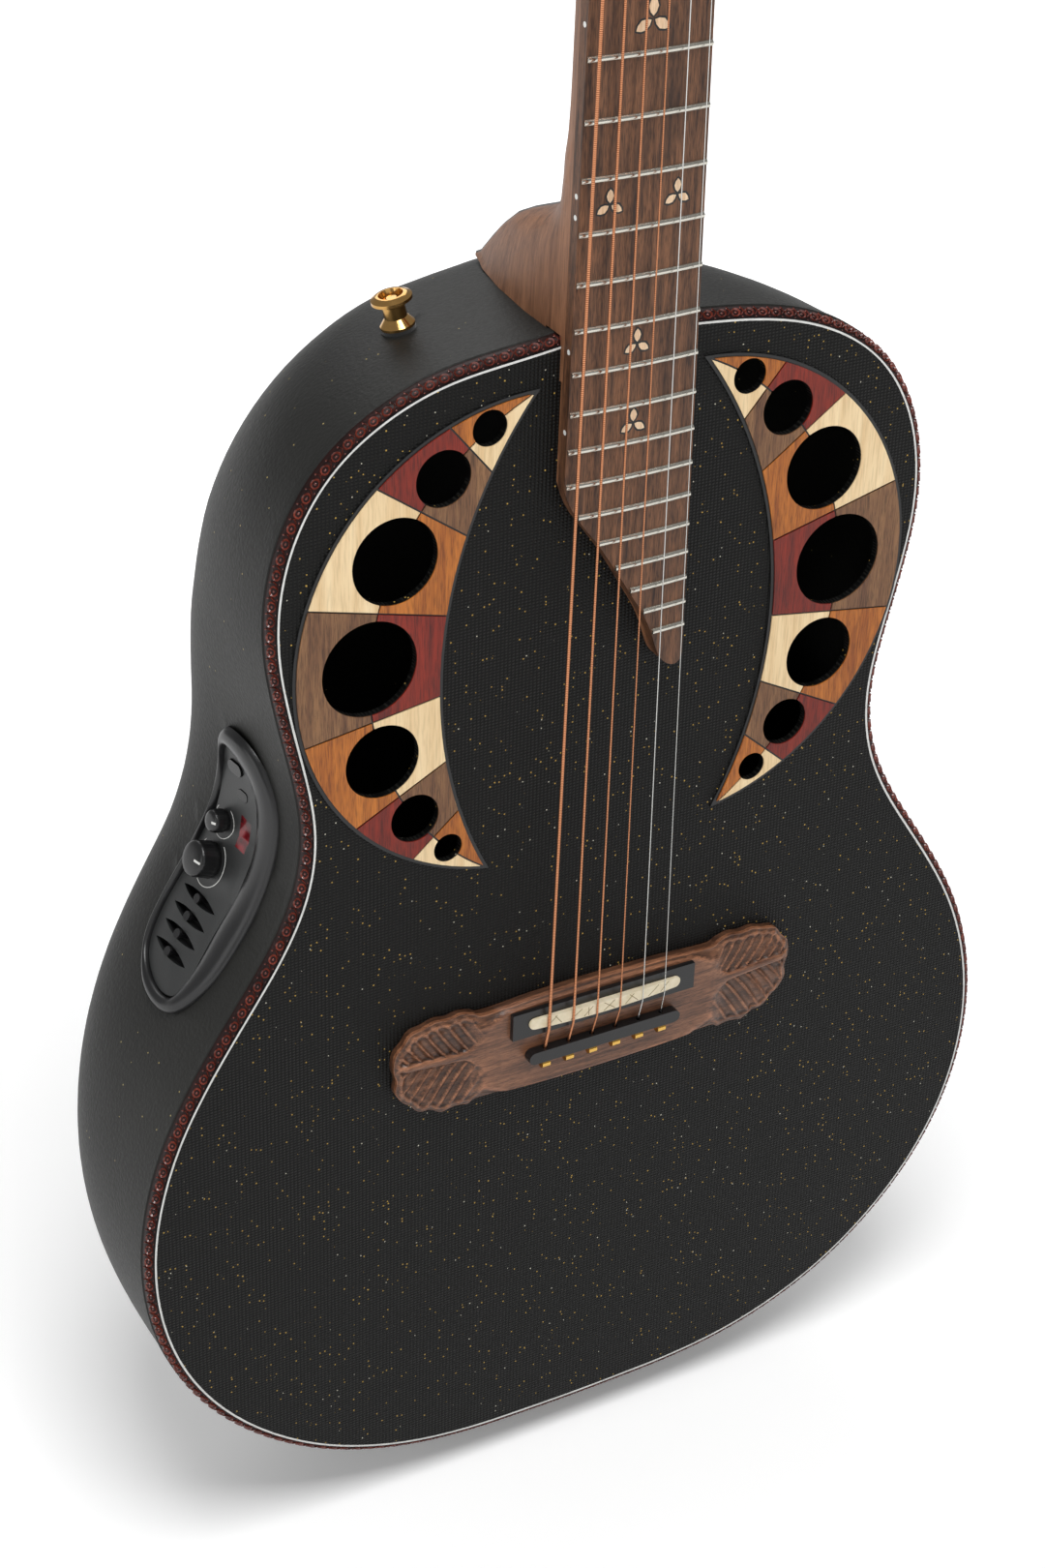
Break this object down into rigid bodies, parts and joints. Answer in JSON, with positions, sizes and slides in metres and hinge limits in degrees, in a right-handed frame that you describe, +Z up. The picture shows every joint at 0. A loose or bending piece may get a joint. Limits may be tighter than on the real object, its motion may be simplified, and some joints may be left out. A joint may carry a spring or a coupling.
{
  "type": "acoustic-electric guitar",
  "caption": "Upright acoustic-electric guitar with a moulded round back, paired rows of sound holes, a geared headstock, an onboard preamp and an output jack in its tail pin.",
  "frame": {"origin": "centre of the output jack mouth, in the outer face of the tail strap pin", "axes": "+Z up the body and neck to the headstock, +Y from the soundboard to the rounded back, +X to the treble side"},
  "size_m": [0.3932, 0.1504, 1.0527],
  "materials": {
    "bowl_skin": "satin leathery texture",
    "top_skin": "satin ribbed fibre weave",
    "binding": "gloss with a moulded scroll",
    "purfling": "satin",
    "dark_veneer": "satin",
    "mahogany": "satin",
    "padauk": "satin",
    "maple": "satin",
    "walnut_veneer": "satin",
    "spruce": "raw",
    "walnut": "satin",
    "black_plastic": "satin",
    "nickel": "polished",
    "cream": "satin",
    "brass": "polished",
    "bronze_wire": "wound wire",
    "steel_wire": "polished wire",
    "pale_maple": "satin",
    "white_plastic": "satin",
    "steel": "zinc plated",
    "black_veneer": "gloss",
    "gold": "polished gold plate",
    "felt": "matte",
    "gloss_black": "gloss",
    "panel_black": "satin",
    "red_window": "gloss",
    "knob_black": "satin"
  },
  "bodies": {
    "guitar": {"anchor_bar": "black_plastic", "ball_ends": "brass", "bowl": "bowl_skin", "braces": "spruce", "bridge": "walnut", "end_pin_jack": "gold", "fingerboard": "walnut", "fret_inlays": "pale_maple", "frets": "nickel", "headstock_veneer": "black_veneer", "heel_cap": "black_plastic", "jack_nut": "steel", "neck": "walnut", "neck_block": "spruce", "neck_bolts": "steel", "nut": "cream", "panel_backings": "dark_veneer", "panel_mahogany": "mahogany", "panel_maple": "maple", "panel_padauk": "padauk", "panel_walnut": "walnut_veneer", "pickup": "nickel", "plain_strings": "steel_wire", "preamp_bezel": "gloss_black", "preamp_housing": "black_plastic", "preamp_panel": "panel_black", "purfling": "purfling", "rim_binding": "binding", "saddle": "cream", "saddle_tray": "black_plastic", "side_dots": "white_plastic", "soundboard": "top_skin", "strap_button": "gold", "strap_screw": "steel", "strap_washers": "felt", "truss_rod": "steel", "tuner_bushings": "gold", "tuner_display": "red_window", "tuner_housings": "gold", "wound_strings": "bronze_wire"},
    "tuner_key_1": {"tuner_key_1": "gold"},
    "tuner_post_1": {"tuner_post_1": "gold"},
    "tuner_key_2": {"tuner_key_2": "gold"},
    "tuner_post_2": {"tuner_post_2": "gold"},
    "tuner_key_3": {"tuner_key_3": "gold"},
    "tuner_post_3": {"tuner_post_3": "gold"},
    "tuner_key_4": {"tuner_key_4": "gold"},
    "tuner_post_4": {"tuner_post_4": "gold"},
    "tuner_key_5": {"tuner_key_5": "gold"},
    "tuner_post_5": {"tuner_post_5": "gold"},
    "tuner_key_6": {"tuner_key_6": "gold"},
    "tuner_post_6": {"tuner_post_6": "gold"},
    "volume_knob": {"volume_knob": "knob_black"},
    "tone_knob": {"tone_knob": "knob_black"},
    "slider_1": {"slider_1": "white_plastic"},
    "slider_2": {"slider_2": "white_plastic"},
    "slider_3": {"slider_3": "white_plastic"},
    "slider_4": {"slider_4": "white_plastic"},
    "push_button_1": {"push_button_1": "knob_black"},
    "push_button_2": {"push_button_2": "knob_black"}
  },
  "joints": [
    {"name": "tuner_key_1_turn", "type": "hinge", "parent": "guitar", "child": "tuner_key_1", "pos_m": [-0.02378, -0.01456, 0.91163], "axis": [1, 0, 0], "continuous": true},
    {"name": "tuner_post_1_turn", "type": "hinge", "parent": "guitar", "child": "tuner_post_1", "pos_m": [-0.02378, -0.01306, 0.91764], "axis": [0, 0.9703, -0.2419], "continuous": true},
    {"name": "tuner_key_2_turn", "type": "hinge", "parent": "guitar", "child": "tuner_key_2", "pos_m": [-0.02196, -0.00488, 0.95044], "axis": [1, 0, 0], "continuous": true},
    {"name": "tuner_post_2_turn", "type": "hinge", "parent": "guitar", "child": "tuner_post_2", "pos_m": [-0.02196, -0.00338, 0.95646], "axis": [0, 0.9703, -0.2419], "continuous": true},
    {"name": "tuner_key_3_turn", "type": "hinge", "parent": "guitar", "child": "tuner_key_3", "pos_m": [-0.02014, 0.00479, 0.98925], "axis": [1, 0, 0], "continuous": true},
    {"name": "tuner_post_3_turn", "type": "hinge", "parent": "guitar", "child": "tuner_post_3", "pos_m": [-0.02014, 0.0063, 0.99527], "axis": [0, 0.9703, -0.2419], "continuous": true},
    {"name": "tuner_key_4_turn", "type": "hinge", "parent": "guitar", "child": "tuner_key_4", "pos_m": [0.02014, 0.00479, 0.98925], "axis": [1, 0, 0], "continuous": true},
    {"name": "tuner_post_4_turn", "type": "hinge", "parent": "guitar", "child": "tuner_post_4", "pos_m": [0.02014, 0.0063, 0.99527], "axis": [0, 0.9703, -0.2419], "continuous": true},
    {"name": "tuner_key_5_turn", "type": "hinge", "parent": "guitar", "child": "tuner_key_5", "pos_m": [0.02196, -0.00488, 0.95044], "axis": [1, 0, 0], "continuous": true},
    {"name": "tuner_post_5_turn", "type": "hinge", "parent": "guitar", "child": "tuner_post_5", "pos_m": [0.02196, -0.00338, 0.95646], "axis": [0, 0.9703, -0.2419], "continuous": true},
    {"name": "tuner_key_6_turn", "type": "hinge", "parent": "guitar", "child": "tuner_key_6", "pos_m": [0.02378, -0.01456, 0.91163], "axis": [1, 0, 0], "continuous": true},
    {"name": "tuner_post_6_turn", "type": "hinge", "parent": "guitar", "child": "tuner_post_6", "pos_m": [0.02378, -0.01306, 0.91764], "axis": [0, 0.9703, -0.2419], "continuous": true},
    {"name": "volume_knob_turn", "type": "hinge", "parent": "guitar", "child": "volume_knob", "pos_m": [-0.13808, 0.01644, 0.29947], "axis": [-0.909, -0.1077, 0.4026], "range_deg": [-150, 150]},
    {"name": "tone_knob_turn", "type": "hinge", "parent": "guitar", "child": "tone_knob", "pos_m": [-0.1323, 0.01644, 0.3161], "axis": [-0.9637, -0.1208, 0.2382], "range_deg": [-150, 150]},
    {"name": "slider_1_slide", "type": "slide", "parent": "guitar", "child": "slider_1", "axis": [-0.0804, 0.9957, 0.0468], "range_m": [-0.0085, 0.0085]},
    {"name": "slider_2_slide", "type": "slide", "parent": "guitar", "child": "slider_2", "axis": [-0.0723, 0.9964, 0.0449], "range_m": [-0.0085, 0.0085]},
    {"name": "slider_3_slide", "type": "slide", "parent": "guitar", "child": "slider_3", "axis": [-0.0658, 0.997, 0.0419], "range_m": [-0.0085, 0.0085]},
    {"name": "slider_4_slide", "type": "slide", "parent": "guitar", "child": "slider_4", "axis": [-0.06, 0.9975, 0.0382], "range_m": [-0.0085, 0.0085]},
    {"name": "push_button_1_press", "type": "slide", "parent": "guitar", "child": "push_button_1", "axis": [0.9936, 0.1076, 0.0344], "range_m": [0, 0.001], "stiffness_N_per_m": 300, "springref_m": -0.0005},
    {"name": "push_button_2_press", "type": "slide", "parent": "guitar", "child": "push_button_2", "axis": [0.9918, 0.1117, -0.0613], "range_m": [0, 0.001], "stiffness_N_per_m": 300, "springref_m": -0.0005}
  ],
  "couplings": [
    {"joint": "tuner_post_1_turn", "follows": "tuner_key_1_turn", "ratio": -0.071429},
    {"joint": "tuner_post_2_turn", "follows": "tuner_key_2_turn", "ratio": -0.071429},
    {"joint": "tuner_post_3_turn", "follows": "tuner_key_3_turn", "ratio": -0.071429},
    {"joint": "tuner_post_4_turn", "follows": "tuner_key_4_turn", "ratio": 0.071429},
    {"joint": "tuner_post_5_turn", "follows": "tuner_key_5_turn", "ratio": 0.071429},
    {"joint": "tuner_post_6_turn", "follows": "tuner_key_6_turn", "ratio": 0.071429}
  ]
}
